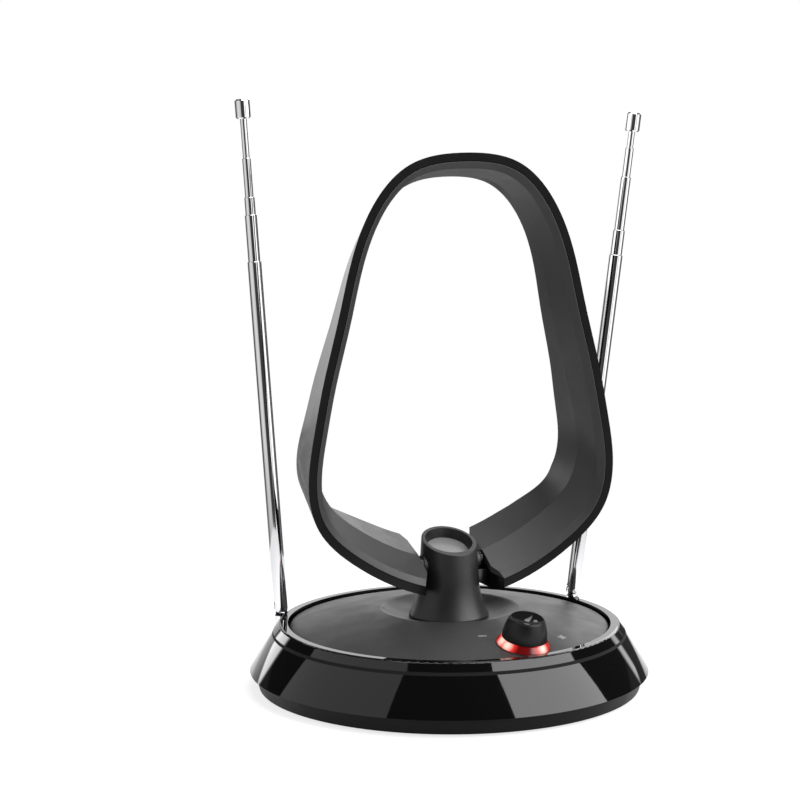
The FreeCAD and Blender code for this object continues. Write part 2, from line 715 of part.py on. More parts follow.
def swivel_collar():
    top = seat_z - DISH_WALL - FACE_GAP
    low = top - COLLAR_THICK
    return lathe((SPIGOT_R, low), (COLLAR_R, low), (COLLAR_R, top), (SPIGOT_R, top))


# Loop, made facing -Y and then turned

hub_x = PIVOT_BOSS_X + FACE_GAP + WASHER_THICK
screw_end_x = LOOP_END_X + PIVOT_BITE


def pivot_screws():
    head_x = CAVITY_WIDTH / 2 - FACE_GAP
    one = cross_screw(PIVOT_HEAD_R, PIVOT_HEAD, PIVOT_SCREW_R, screw_end_x - head_x)
    right = moved(one, V(head_x, 0, pivot_z), Y_AXIS, -90)
    left = moved(one, V(-head_x, 0, pivot_z), Y_AXIS, 90)
    return turned(group([left, right]))


def friction_washers():
    pair = []
    for side in (-1, 1):
        inner = V(side * (hub_x - WASHER_THICK), 0, pivot_z)
        outer = V(side * hub_x, 0, pivot_z)
        pair.append(rod(WASHER_R, inner, outer).cut(rod(PIVOT_SCREW_R, inner, outer)))
    return turned(group(pair))


def inset(half, distance):
    """A half outline moved inwards by a distance, square to its own run."""
    before = ((-half[1][0], half[1][1]),) + half[:-1]
    after = half[1:] + ((-half[-2][0], half[-2][1]),)
    points = []
    for (x, z), (xa, za), (xb, zb) in zip(half, before, after):
        along = V(xb - xa, 0, zb - za).normalize()
        points.append((x + along.z * distance, z - along.x * distance))
    return tuple(points)


def front_plane(z):
    return LOOP_FRONT_Y


def ridge_plane(z):
    return LOOP_FRONT_Y + BEVEL_DEPTH


def crest_plane(z):
    return CREST_Y


def back_plane(z):
    return LOOP_BACK_Y - LOOP_BACK_LEAN * (z - LOOP_BACK_LEVEL_Z)


def rim_wire(half, plane):
    """The smooth outline of a half outline and its mirror image, closed at the bottom, which is cut away."""
    mirrored = [(-x, z) for x, z in half[1:]]
    points = [V(x, plane(z), z) for x, z in list(reversed(half)) + mirrored]
    curve = Part.BSplineCurve()
    curve.interpolate(points)
    return Part.Wire(curve.toShape())


def plug(front, back, near=front_plane, far=back_plane):
    """The solid between two outlines, one in front of the other."""
    return Part.makeLoft([rim_wire(front, near), rim_wire(back, far)], True, True)


def bottom_gap(end_x):
    """The space between two upright faces at the loop's bottom."""
    return block(V(-end_x, -REACH, 0), V(end_x, REACH, LOOP_END_TOP_Z))


def end_gap():
    """The space between the loop's ends, wider at their front and back corners."""
    front_x = LOOP_END_X + END_FACET_X
    rear_x = LOOP_END_X + END_REAR_X
    right = [V(front_x, -REACH, 0), V(front_x, LOOP_FRONT_Y, 0), V(LOOP_END_X, LOOP_FRONT_Y + END_FACET_Y, 0),
             V(LOOP_END_X, LOOP_BACK_Y - END_REAR_Y, 0), V(rear_x, LOOP_BACK_Y, 0), V(rear_x, REACH, 0)]
    left = [V(-corner.x, corner.y, 0) for corner in reversed(right)]
    return Part.Face(Part.makePolygon(right + left + right[:1])).extrude(UP * LOOP_END_TOP_Z)


def arm_trim():
    """What the bottom arms lose at the back, so that they end in line with the column."""
    top_y = back_plane(ARM_TRIM_TOP_Z)
    side = [(LOOP_BACK_Y, 0), (LOOP_BACK_Y, ARM_TRIM_Z), (top_y, ARM_TRIM_TOP_Z), (REACH, ARM_TRIM_TOP_Z),
            (REACH, 0)]
    corners = [V(-REACH, y, z) for y, z in side + side[:1]]
    return Part.Face(Part.makePolygon(corners)).extrude(X_AXIS * (2 * REACH))


outer_plug = plug(FRONT_RIM, inset(BACK_RIM, -BACK_THICK))
split_back = inset(BACK_RIM, -BACK_SPLIT)
split_plug = plug(inset(FRONT_RIM, RIM_WIDTH), split_back)


def loop_element():
    wide = plug(inset(FRONT_RIM, RIM_WIDTH - ELEMENT_THICK), inset(BACK_RIM, -BACK_SPLIT - ELEMENT_THICK))
    near_y = LOOP_FRONT_Y + ELEMENT_FRONT
    slab = block(V(-REACH, near_y, 0), V(REACH, near_y + ELEMENT_WIDTH, REACH))
    return wide.cut(split_plug).common(slab).cut(bottom_gap(ELEMENT_END_X))


def loop_outer_shell():
    straight = plug(FRONT_RIM, FRONT_RIM)
    end_blocks = straight.common(bottom_gap(END_BLOCK_X))
    shell = outer_plug.fuse(end_blocks).cut(split_plug).cut(end_gap()).cut(arm_trim()).cut(loop_element())
    for side in (-1, 1):
        inner = V(side * hub_x, 0, pivot_z)
        outer = V(side * (LOOP_END_X + HUB_EMBED), 0, pivot_z)
        shell = shell.fuse(rod(HUB_R, inner, outer))
    for side in (-1, 1):
        shell = shell.cut(rod(PIVOT_SCREW_R, V(0, 0, pivot_z), V(side * screw_end_x, 0, pivot_z)))
    return shell


def loop_inner_shell():
    ridge = inset(FRONT_RIM, RIDGE_INSET)
    seam = inset(FRONT_RIM, RIM_WIDTH + PARTING_GAP)
    bevel_mouth = inset(FRONT_RIM, RIM_WIDTH + 2 * PARTING_GAP)
    bevel = plug(bevel_mouth, ridge, front_plane, ridge_plane)
    slope = plug(ridge, CREST_RIM, ridge_plane, crest_plane)
    inside = plug(CREST_RIM, BACK_RIM, crest_plane)
    shell = plug(seam, split_back).cut(inside).cut(slope).cut(bevel).cut(end_gap()).cut(arm_trim())
    for side in (-1, 1):
        outer = V(side * (LOOP_END_X + HUB_EMBED), 0, pivot_z)
        shell = shell.cut(rod(HUB_R, V(0, 0, pivot_z), outer))
    return shell


# Rods, made upright with the hinge pin at the origin

SECTION_RADII = [ROD_R - n * (ROD_WALL + ROD_FIT) for n in range(5)]


def rod_place(side):
    turn = math.radians(ROD_ANGLE)
    return V(side * rod_circle_r * math.sin(turn), rod_circle_r * math.cos(turn), 0)


def rod_swivel(side):
    spot = rod_place(side)
    head = rod(SWIVEL_R, spot + UP * (POCKET_FLOOR_Z + FACE_GAP), spot + UP * SWIVEL_TOP_Z)
    low_z = POCKET_BOSS_Z - FACE_GAP - STUD_NUT_THICK - STUD_TAIL
    stud = rod(STUD_R, spot + UP * low_z, spot + UP * (POCKET_FLOOR_Z + PAST))
    half = V(TONGUE_R, TONGUE_THICK / 2, 0)
    tongue = block(spot - half + UP * (SWIVEL_TOP_Z - PAST), spot + half + UP * pin_z)
    eye = rod(TONGUE_R, spot + V(0, -TONGUE_THICK / 2, pin_z), spot + V(0, TONGUE_THICK / 2, pin_z))
    hole = rod(PIN_R + RUN_FIT, spot + V(0, -ROD_R, pin_z), spot + V(0, ROD_R, pin_z))
    return head.fuse(stud).fuse(tongue).fuse(eye).cut(hole).removeSplitter()


def rod_nut(side):
    top = POCKET_BOSS_Z - FACE_GAP
    return moved(hexagon(STUD_NUT_ACROSS, top - STUD_NUT_THICK, top, STUD_R), rod_place(side))


def rod_foot():
    """The forked foot: a round bar with a ball end, slotted over the swivel's tongue."""
    ball = ROD_R * math.sqrt(0.5)
    bar = lathe((0, -ROD_R), ((ball, -ball), (ROD_R, 0)), (ROD_R, ROD_FOOT_LENGTH), (0, ROD_FOOT_LENGTH))
    slot_half = TONGUE_THICK / 2 + FACE_GAP
    slot_top = TONGUE_R + SKIN_GAP
    bar = bar.cut(block(V(-ROD_R - PAST, -slot_half, -ROD_R - PAST), V(ROD_R + PAST, slot_half, slot_top)))
    spigot = rod(ROD_R - ROD_WALL, V(0, 0, ROD_FOOT_LENGTH - PAST), V(0, 0, ROD_FOOT_LENGTH + ROD_FOOT_PLUG))
    return bar.fuse(spigot).cut(rod(PIN_R, V(0, -2 * ROD_R, 0), V(0, 2 * ROD_R, 0))).removeSplitter()


def rod_pin():
    end = math.sqrt(ROD_R ** 2 - PIN_R ** 2)
    return rod(PIN_R, V(0, -end, 0), V(0, end, 0))


def tube(radius, bore_r, low, high):
    """A tube with its top edge rolled slightly inwards."""
    return lathe((bore_r, low), (radius, low), (radius, high - ROD_MOUTH_ROUND),
                 (radius - ROD_MOUTH_ROUND, high), (bore_r, high))


def rod_sections(shown):
    """The five sections from the widest up, each pulled out of the one before by the length shown."""
    shapes = [tube(ROD_R, ROD_R - ROD_WALL, ROD_FOOT_LENGTH, ROD_TOP)]
    top = ROD_TOP
    for radius, length, out in zip(SECTION_RADII[1:], ROD_LENGTHS, shown):
        top = top + out
        if radius == SECTION_RADII[-1]:
            shapes.append(rod(radius, V(0, 0, top - length), V(0, 0, top + ROD_CAP_SOCKET)))
        else:
            shapes.append(tube(radius, radius - ROD_WALL, top - length, top))
    return shapes


def rod_cap(shown):
    low = ROD_TOP + sum(shown)
    top = low + ROD_CAP_LENGTH
    edge = ROD_CAP_R - ROD_CAP_CHAMFER
    body = lathe((0, low), (edge, low), (ROD_CAP_R, low + ROD_CAP_CHAMFER),
                 (ROD_CAP_R, top - ROD_CAP_CHAMFER), (edge, top), (0, top))
    return body.cut(rod(SECTION_RADII[-1], V(0, 0, low - PAST), V(0, 0, low + ROD_CAP_SOCKET)))


def save_rod(name, side):
    """Saves one rod's pieces, leaned at its pin."""
    shown = ROD_SHOWN[name]
    pieces = {"foot": rod_foot(), "pin": rod_pin(), "cap": rod_cap(shown)}
    for number, shape in enumerate(rod_sections(shown), 1):
        pieces["section_" + str(number)] = shape
    pin_place = rod_place(side) + UP * pin_z
    for piece, shape in pieces.items():
        save(name + "_rod_" + piece, moved(shape, pin_place, Y_AXIS, ROD_LEANS[name]))
    save(name + "_rod_swivel", rod_swivel(side))
    save(name + "_rod_nut", rod_nut(side))


save("bottom_cover", tray())
save("base_pad", base_pad())
save("cover_screws", cover_screws())
save("ballast_plate", ballast_plate())
save("bezel_ring", bezel())
save("top_dish", dish())
save("circuit_board", circuit_board())
save("board_screws", board_screws())
save("shield_can", shield_can())
save("coax_socket", coax_socket())
save("coax_nut", coax_nut())
save("power_jack", power_jack())
save("power_jack_pin", power_jack_pin())
save("gain_pot", gain_pot())
save("gain_pot_nut", gain_pot_nut())
save("gain_shaft", gain_shaft())
save("light_ring", light_ring())
save("indicator_leds", indicator_leds())
save("gain_knob", knob())
save("knob_cap", knob_cap())
save("column", column())
save("column_badge", column_badge())
save("swivel_collar", swivel_collar())
save("pivot_screws", pivot_screws())
save("friction_washers", friction_washers())
save("loop_outer_shell", turned(loop_outer_shell()))
save("loop_inner_shell", turned(loop_inner_shell()))
save("loop_element", turned(loop_element()))
save_rod("left", -1)
save_rod("right", 1)
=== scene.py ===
import math

import bpy
from mathutils import Matrix, Vector

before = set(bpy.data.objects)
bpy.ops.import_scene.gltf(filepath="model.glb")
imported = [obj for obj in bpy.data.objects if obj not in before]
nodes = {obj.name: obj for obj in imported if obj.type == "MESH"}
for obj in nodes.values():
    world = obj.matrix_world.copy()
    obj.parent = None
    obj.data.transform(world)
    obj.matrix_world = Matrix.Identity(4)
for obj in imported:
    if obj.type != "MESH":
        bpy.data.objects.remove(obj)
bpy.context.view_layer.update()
scene = bpy.context.scene
scene.view_settings.view_transform = "Standard"

# Where the camera stands and what it looks at, in metres
CAMERA_PLACE = Vector((-0.29896, -1.0992, 0.30371))
CAMERA_TARGET = Vector((-0.02343, 0.00584, 0.14423))
CAMERA_LENS = 104.45
CAMERA_SENSOR = 36.0
CAMERA_ROLL = math.radians(-0.217)
CAMERA_NEAR = 0.05
CAMERA_FAR = 60.0

# The bezel's slope, step and upper band: how far their faces look up, and the heights where they meet.
# The slope is slightly crowned, so its lower edge looks up less and its upper edge more. Faces that turn
# further than BEZEL_CLOSE from these keep their own normals.
BEZEL_RISES = (math.atan2(11.3, 18.1), math.atan2(0.4, 1.6), math.atan2(2.8, 3.5))
BEZEL_STEP_Z = 0.0269
BEZEL_CREASE_Z = 0.0285
BEZEL_FOOT_Z = 0.0088
BEZEL_CROWN = math.radians(4.2)
BEZEL_CLOSE = math.radians(8.0)

# Printed marks on the dish: their places, and half of a stroke's length and width
MARK_STROKE = (0.0021, 0.0007)
MINUS_PLACE = (0.00215, -0.05345)
PLUS_PLACE = (0.0421, -0.0536)
MARK_TONE = 0.2

# The red collar: where the lamps shine through, how far the hot spots and their halos reach, and the colours
LED_SPOTS = (Vector((0.0088, -0.0650, 0.0370)),
             Vector((0.0098, -0.0695, 0.0357)),
             Vector((0.0264, -0.0731, 0.0340)))
HOT_REACH = (0.001, 0.0035)
HALO_REACH = (0.003, 0.006)
HOT_RED = (1.0, 0.66, 0.55, 1.0)
HALO_RED = (0.8, 0.03, 0.02, 1.0)
DEEP_RED = (0.07, 0.0005, 0.0005, 1.0)
GLOW = 1.2
RED_TONES = ((0.05, 0.001, 0.001, 1.0), (0.07, 0.0015, 0.0015, 1.0))
RED_ROUGH = 0.18
RED_PATCH_SCALE = 200.0
RED_GRAIN_SCALE = 500.0
RED_GRAIN_DEPTH = 0.00001

# Nickel plate: its tones and roughness, and the marks, pitch and depth of the socket's thread
NICKEL_TONES = ((0.5, 0.48, 0.45, 1.0), (0.62, 0.6, 0.56, 1.0))
NICKEL_ROUGH = (0.16, 0.28)
THREAD_MARKS_SCALE = 400.0
THREAD_PITCH = 0.00079
THREAD_DEPTH = 0.0002

# How detailed the plastics' grain and the metals' marks are, how much the marks stand out, and how much
# finer a plastic's gloss changes than its tone
GRAIN_DETAIL = 2.0
MARKS_DETAIL = 4.0
MARKS_STRENGTH = 0.5
GLOSS_FINER = 4
WHITE = (1.0, 1.0, 1.0, 1.0)


# Node helpers

def feed(tree, socket, value):
    """Sets a socket to a constant, or links another node's output to it."""
    if isinstance(value, bpy.types.NodeSocket):
        tree.links.new(value, socket)
    else:
        socket.default_value = value


def math_node(tree, operation, *values):
    node = tree.nodes.new("ShaderNodeMath")
    node.operation = operation
    for socket, value in zip(node.inputs, values):
        feed(tree, socket, value)
    return node.outputs["Value"]


def vector_node(tree, operation, *values):
    node = tree.nodes.new("ShaderNodeVectorMath")
    node.operation = operation
    for socket, value in zip([s for s in node.inputs if s.enabled], values):
        feed(tree, socket, value)
    return node.outputs["Value" if operation in ("DOT_PRODUCT", "DISTANCE") else "Vector"]


def axes(tree, vector):
    node = tree.nodes.new("ShaderNodeSeparateXYZ")
    tree.links.new(vector, node.inputs["Vector"])
    return node.outputs


def material(name):
    """A new node material with its shader and the object's own coordinates, in metres."""
    made = bpy.data.materials.new(name)
    made.use_nodes = True
    tree = made.node_tree
    shader = tree.nodes["Principled BSDF"]
    coords = tree.nodes.new("ShaderNodeTexCoord")
    return made, tree, shader, coords.outputs["Object"]


def parts_of(made):
    """A finished material's nodes: its tree, its shader and the object's own coordinates."""
    tree = made.node_tree
    coords = next(n for n in tree.nodes if n.bl_idname == "ShaderNodeTexCoord")
    return tree, tree.nodes["Principled BSDF"], coords.outputs["Object"]


def noise(tree, coords, scale, detail=3.0):
    node = tree.nodes.new("ShaderNodeTexNoise")
    node.inputs["Scale"].default_value = scale
    node.inputs["Detail"].default_value = detail
    tree.links.new(coords, node.inputs["Vector"])
    return node.outputs["Fac"]


def stretched(tree, coords, scale):
    """The coordinates scaled apart along the three axes."""
    node = tree.nodes.new("ShaderNodeMapping")
    node.inputs["Scale"].default_value = scale
    tree.links.new(coords, node.inputs["Vector"])
    return node.outputs["Vector"]


def spread(tree, value, low, high, start=0.3, end=0.7):
    """A value mapped from one range to another and kept inside it."""
    node = tree.nodes.new("ShaderNodeMapRange")
    node.inputs["From Min"].default_value = start
    node.inputs["From Max"].default_value = end
    node.inputs["To Min"].default_value = low
    node.inputs["To Max"].default_value = high
    tree.links.new(value, node.inputs["Value"])
    return node.outputs["Result"]


def between(tree, factor, first, second, kind="RGBA"):
    """A colour, vector or number between two, by a factor."""
    node = tree.nodes.new("ShaderNodeMix")
    node.data_type = kind
    sockets = [s for s in node.inputs if s.enabled]
    tree.links.new(factor, sockets[0])
    feed(tree, sockets[-2], first)
    feed(tree, sockets[-1], second)
    return [s for s in node.outputs if s.enabled][0]


def ramp(tree, value, stops):
    """A number read off a line of (place, level) stops."""
    node = tree.nodes.new("ShaderNodeValToRGB")
    line = node.color_ramp.elements
    line[0].position = stops[0][0]
    line[-1].position = stops[-1][0]
    for place, _ in stops[1:-1]:
        line.new(place)
    for element, (_, level) in zip(line, stops):
        element.color = (level, level, level, 1.0)
    tree.links.new(value, node.inputs["Fac"])
    return node.outputs["Color"]


def bump(tree, shader, height, distance, strength=1.0, normal=None):
    node = tree.nodes.new("ShaderNodeBump")
    node.inputs["Strength"].default_value = strength
    node.inputs["Distance"].default_value = distance
    tree.links.new(height, node.inputs["Height"])
    if normal is not None:
        tree.links.new(normal, node.inputs["Normal"])
    tree.links.new(node.outputs["Normal"], shader.inputs["Normal"])


def grey(value):
    """A very slightly cool grey."""
    return (value, value, value * 1.02, 1.0)


# Materials

def moulded(name, dark, light, rough, grain_scale, grain_depth, specular=0.5, patch_scale=25.0, normals=None):
    """Moulded plastic: faint cloudiness of the colour, uneven gloss and a fine spark-eroded grain."""
    made, tree, shader, coords = material(name)
    tone = between(tree, noise(tree, coords, patch_scale), dark, light)
    tree.links.new(tone, shader.inputs["Base Color"])
    uneven = noise(tree, coords, patch_scale * GLOSS_FINER)
    tree.links.new(spread(tree, uneven, *rough), shader.inputs["Roughness"])
    shader.inputs["Specular IOR Level"].default_value = specular
    normal = normals(tree, coords) if normals else None
    bump(tree, shader, noise(tree, coords, grain_scale, GRAIN_DETAIL), grain_depth, normal=normal)
    return made


def metal(name, dark, light, rough, stretch, depth):
    """Plated or drawn metal with fine marks that run one way."""
    made, tree, shader, coords = material(name)
    shader.inputs["Metallic"].default_value = 1.0
    marks = noise(tree, stretched(tree, coords, stretch), 1.0, MARKS_DETAIL)
    tree.links.new(between(tree, marks, dark, light), shader.inputs["Base Color"])
    tree.links.new(spread(tree, marks, *rough), shader.inputs["Roughness"])
    bump(tree, shader, marks, depth, MARKS_STRENGTH)
    return made


def bezel_normals(tree, coords):
    """The three faces' own normals, so that the creases between them stay crisp."""
    outward = vector_node(tree, "NORMALIZE", vector_node(tree, "MULTIPLY", coords, (1.0, 1.0, 0.0)))
    height = axes(tree, coords)["Z"]
    slope, step, band = BEZEL_RISES
    rise = spread(tree, height, slope - BEZEL_CROWN, slope + BEZEL_CROWN, BEZEL_FOOT_Z, BEZEL_STEP_Z)
    for low, turned in ((BEZEL_STEP_Z, step), (BEZEL_CREASE_Z, band)):
        rise = between(tree, math_node(tree, "GREATER_THAN", height, low), rise, turned, kind="FLOAT")
    flat = vector_node(tree, "SCALE", outward, math_node(tree, "COSINE", rise))
    up = vector_node(tree, "SCALE", (0.0, 0.0, 1.0), math_node(tree, "SINE", rise))
    exact = vector_node(tree, "ADD", flat, up)
    geometry = tree.nodes.new("ShaderNodeNewGeometry").outputs
    same_way = vector_node(tree, "DOT_PRODUCT", exact, geometry["True Normal"])
    close = math_node(tree, "GREATER_THAN", same_way, math.cos(BEZEL_CLOSE))
    return between(tree, close, geometry["Normal"], exact, kind="VECTOR")


def dull_step(made):
    """Leaves the narrow step under the crease as it came from the mould, without polish."""
    tree, shader, coords = parts_of(made)
    middle = (BEZEL_STEP_Z + BEZEL_CREASE_Z) / 2
    on_step = math_node(tree, "COMPARE", axes(tree, coords)["Z"], middle, BEZEL_CREASE_Z - middle)
    polished = shader.inputs["Roughness"].links[0].from_socket
    tree.links.new(math_node(tree, "MAXIMUM", polished, on_step), shader.inputs["Roughness"])


def in_box(tree, coords, centre, half):
    """1 inside an upright box over a small rectangle, 0 outside."""
    place = axes(tree, coords)
    within = [math_node(tree, "COMPARE", place[axis], centre[axis], half[axis]) for axis in (0, 1)]
    return math_node(tree, "MULTIPLY", *within)


def printed_dish(made):
    """Adds the gain control's minus and plus to the dish."""
    tree, shader, coords = parts_of(made)
    across = in_box(tree, coords, PLUS_PLACE, MARK_STROKE)
    along = in_box(tree, coords, PLUS_PLACE, MARK_STROKE[::-1])
    minus = in_box(tree, coords, MINUS_PLACE, MARK_STROKE)
    print_mask = math_node(tree, "MAXIMUM", math_node(tree, "MAXIMUM", across, along), minus)
    bare = shader.inputs["Base Color"].links[0].from_socket
    tree.links.new(between(tree, print_mask, bare, grey(MARK_TONE)), shader.inputs["Base Color"])


def lit_red():
    """Red translucent plastic, lit from below and brightest over the lamps."""
    made, tree, shader, coords = material("lit_red")
    away, *others = (vector_node(tree, "DISTANCE", coords, spot) for spot in LED_SPOTS)
    for other in others:
        away = math_node(tree, "MINIMUM", away, other)
    tone = between(tree, noise(tree, coords, RED_PATCH_SCALE), *RED_TONES)
    tree.links.new(tone, shader.inputs["Base Color"])
    halo = between(tree, spread(tree, away, 0.0, 1.0, *HALO_REACH), HALO_RED, DEEP_RED)
    glow = between(tree, spread(tree, away, 0.0, 1.0, *HOT_REACH), HOT_RED, halo)
    tree.links.new(glow, shader.inputs["Emission Color"])
    shader.inputs["Emission Strength"].default_value = GLOW
    shader.inputs["Roughness"].default_value = RED_ROUGH
    bump(tree, shader, noise(tree, coords, RED_GRAIN_SCALE), RED_GRAIN_DEPTH)
    return made


def threaded():
    """Nickel plate with a thread's fine ridges along the socket's axis."""
    made, tree, shader, coords = material("threaded_nickel")
    shader.inputs["Metallic"].default_value = 1.0
    marks = noise(tree, coords, THREAD_MARKS_SCALE, MARKS_DETAIL)
    tree.links.new(between(tree, marks, *NICKEL_TONES), shader.inputs["Base Color"])
    tree.links.new(spread(tree, marks, *NICKEL_ROUGH), shader.inputs["Roughness"])
    along = axes(tree, coords)["Y"]
    turns = math_node(tree, "SINE", math_node(tree, "MULTIPLY", along, math.tau / THREAD_PITCH))
    bump(tree, shader, turns, THREAD_DEPTH)
    return made


# Each plastic has its two tones, its roughness, and the scale and depth of its grain
gloss_bezel = moulded("gloss_bezel", grey(0.002), grey(0.003), (0.03, 0.05), 900.0, 0.000001,
                      normals=bezel_normals)
dull_step(gloss_bezel)
gloss_black = moulded("gloss_black", grey(0.004), grey(0.006), (0.03, 0.06), 900.0, 0.000001)
gloss_loop = moulded("gloss_loop", grey(0.002), grey(0.003), (0.13, 0.17), 900.0, 0.000001, specular=0.2)
matte_dish = moulded("matte_dish", grey(0.016), grey(0.02), (0.42, 0.5), 2600.0, 0.00002)
printed_dish(matte_dish)
matte_column = moulded("matte_column", grey(0.011), grey(0.014), (0.38, 0.46), 2600.0, 0.00002)
matte_loop = moulded("matte_loop", grey(0.024), grey(0.029), (0.4, 0.48), 2600.0, 0.00002)
matte_black = moulded("matte_black", grey(0.004), grey(0.006), (0.36, 0.44), 2600.0, 0.00002, specular=0.3)
tray_black = moulded("tray_black", grey(0.006), grey(0.008), (0.4, 0.5), 1800.0, 0.00004, specular=0.1)
rubber = moulded("rubber", grey(0.02), grey(0.03), (0.75, 0.85), 700.0, 0.0001)
# The badge's light grey is a painted reflection: the disc itself is glossy black, and this grey stands in for
# what it mirrors.
badge = moulded("badge", grey(0.15), grey(0.18), (0.2, 0.28), 1500.0, 0.000004)
board = moulded("board", (0.01, 0.09, 0.035, 1.0), (0.015, 0.13, 0.05, 1.0), (0.3, 0.4), 600.0, 0.00002,
                patch_scale=180.0)

# Each metal has its two tones, its roughness, how fine its marks are along the three axes, and their depth
chrome = metal("chrome", grey(0.74), grey(0.82), (0.03, 0.07), (900.0, 900.0, 30.0), 0.000001)
steel = metal("steel", grey(0.4), grey(0.52), (0.28, 0.4), (300.0, 300.0, 300.0), 0.000004)
nickel = metal("nickel", *NICKEL_TONES, NICKEL_ROUGH, (400.0, 1500.0, 400.0), 0.00001)
tinplate = metal("tinplate", grey(0.45), grey(0.58), (0.25, 0.38), (60.0, 900.0, 60.0), 0.000004)
foil = metal("foil", grey(0.6), grey(0.72), (0.2, 0.3), (60.0, 900.0, 60.0), 0.000004)

ROD_SECTIONS = ["section_%d" % k for k in range(1, 6)]
ROD_PIECES = ["swivel", "pin", "foot", *ROD_SECTIONS, "cap"]
by_material = {
    gloss_bezel: ["bezel_ring"],
    gloss_black: ["knob_cap"],
    gloss_loop: ["loop_outer_shell"],
    matte_dish: ["top_dish"],
    matte_column: ["column"],
    matte_loop: ["loop_inner_shell"],
    matte_black: ["gain_knob", "power_jack", "gain_pot", "swivel_collar", "pivot_screws",
                  "friction_washers"],
    tray_black: ["bottom_cover"],
    rubber: ["base_pad"],
    badge: ["column_badge"],
    board: ["circuit_board"],
    steel: ["cover_screws", "ballast_plate", "board_screws", "gain_pot_nut", "gain_shaft", "left_rod_nut",
            "right_rod_nut"],
    threaded(): ["coax_socket"],
    nickel: ["coax_nut", "power_jack_pin"],
    tinplate: ["shield_can"],
    foil: ["loop_element"],
    lit_red(): ["light_ring", "indicator_leds"],
    chrome: [side + "_rod_" + piece for side in ("left", "right") for piece in ROD_PIECES],
}
for made, names in by_material.items():
    for name in names:
        slots = nodes[name].data.materials
        slots.clear()
        slots.append(made)


# Camera at the photograph's viewpoint

def look(camera, place, target, roll):
    """Puts the camera at a place, aims it at a target and rolls it about its line of sight."""
    ahead = (target - place).normalized()
    level = ahead.cross(Vector((0, 0, 1))).normalized()
    upright = level.cross(ahead)
    right = level * math.cos(roll) + upright * math.sin(roll)
    up = upright * math.cos(roll) - level * math.sin(roll)
    camera.matrix_world = Matrix.Translation(place) @ Matrix((right, up, -ahead)).transposed().to_4x4()


camera_data = bpy.data.cameras.new("camera")
camera_data.lens = CAMERA_LENS
camera_data.sensor_width = CAMERA_SENSOR
camera_data.clip_start = CAMERA_NEAR
camera_data.clip_end = CAMERA_FAR
camera = bpy.data.objects.new("camera", camera_data)
scene.collection.objects.link(camera)
look(camera, CAMERA_PLACE, CAMERA_TARGET, CAMERA_ROLL)
scene.camera = camera


# Studio. Azimuth 0 is the camera's side and positive is to its right.

FRONT = math.atan2(CAMERA_PLACE.y, CAMERA_PLACE.x)
POWER_OF_RADIANCE = 4


def soft_box(name, place, facing, width, height, radiance):
    """A rectangular lamp of an even brightness, whatever its size."""
    data = bpy.data.lights.new(name, "AREA")
    data.shape = "RECTANGLE"
    data.size = width
    data.size_y = height
    data.energy = radiance * POWER_OF_RADIANCE * width * height
    light = bpy.data.objects.new(name, data)
    scene.collection.objects.link(light)
    light.location = place
    light.rotation_mode = "QUATERNION"
    light.rotation_quaternion = facing.to_track_quat("-Z", "Y")


def upright_box(name, azimuth, distance, across, heights, radiance):
    """A soft box that stands square to its azimuth and reaches across and up between two places each."""
    turn = FRONT + math.radians(azimuth)
    away = Vector((math.cos(turn), math.sin(turn), 0.0))
    aside = Vector((-math.sin(turn), math.cos(turn), 0.0))
    place = away * distance + aside * (sum(across) / 2) + Vector((0, 0, sum(heights) / 2))
    soft_box(name, place, -away, across[1] - across[0], heights[1] - heights[0], radiance)


def overhead_box(name, azimuth, elevation, distance, width, height, radiance):
    """A soft box aimed at the base from above."""
    turn = FRONT + math.radians(azimuth)
    rise = math.radians(elevation)
    away = Vector((math.cos(turn) * math.cos(rise), math.sin(turn) * math.cos(rise), math.sin(rise)))
    soft_box(name, away * distance, -away, width, height, radiance)


upright_box("right_box", azimuth=70.0, distance=1.3, across=(-0.75, 0.75), heights=(0.34, 2.75),
            radiance=3.5)
upright_box("left_box", azimuth=-74.0, distance=1.3, across=(-0.945, 0.945), heights=(0.3, 2.6),
            radiance=0.6)
overhead_box("top_box", azimuth=100.0, elevation=80.0, distance=1.8, width=1.6, height=1.2, radiance=2.9)

# What gloss shows of the studio, as (azimuth, level): to the sides up to SIDES_TOP, behind the object up to
# BACK_TOP, and from there up to HIGH_TOP, with two windows of (azimuths, elevations, level). Behind the
# object it grows darker downwards through BACK_FALL, to BACK_LOW of its level, and it meets the ground
# through GROUND_EDGE. PEAK is the brightest level.
PEAK = 4.0
SIDES = ((-180, 0.03), (-100, 0.06), (-94, 0.5), (-60, 0.9), (-24, 0.6), (-17, 0.02), (30, 0.02), (34, 1.5),
         (44, 1.5), (46, 0.45), (55, 0.45), (57, 1.5), (90, 1.5), (96, 0.15), (145, 0.05), (180, 0.03))
BACK = ((-180, 0.85), (-152, 0.75), (-124, 0.0), (168, 0.0), (173, 0.8), (180, 0.8))
HIGH = ((-180, 1.5), (-161, 1.7), (-159, 0.0), (-151, 0.0), (-149, 4.0), (-138, 4.0), (-136, 0.0), (138, 0.0),
        (140, 2.4), (143, 2.4), (145, 0.0), (152, 0.0), (156, 1.2), (180, 1.5))
WINDOWS = (((154, 174), (14, 56), 1.8), ((177, 180), (26, 36), 1.6))
SIDES_TOP = 10.0
BACK_TOP = 4.0
BACK_FALL = (-11.0, -4.0)
BACK_LOW = 0.32
HIGH_TOP = 25.0
CEILING = 0.03
GROUND = 0.35
GROUND_EDGE = (-18.0, -13.0)
NADIR = -90.0
SOFT_END = 0.5

# The fill that matte faces get from behind the object and from the camera's side
FILL = (0.09, 0.51)


def inside(tree, value, low, high):
    """1 between two degrees and 0 outside, with soft ends."""
    rise = spread(tree, value, 0.0, 1.0, low - SOFT_END, low + SOFT_END)
    return math_node(tree, "MULTIPLY", rise, spread(tree, value, 1.0, 0.0, high - SOFT_END, high + SOFT_END))


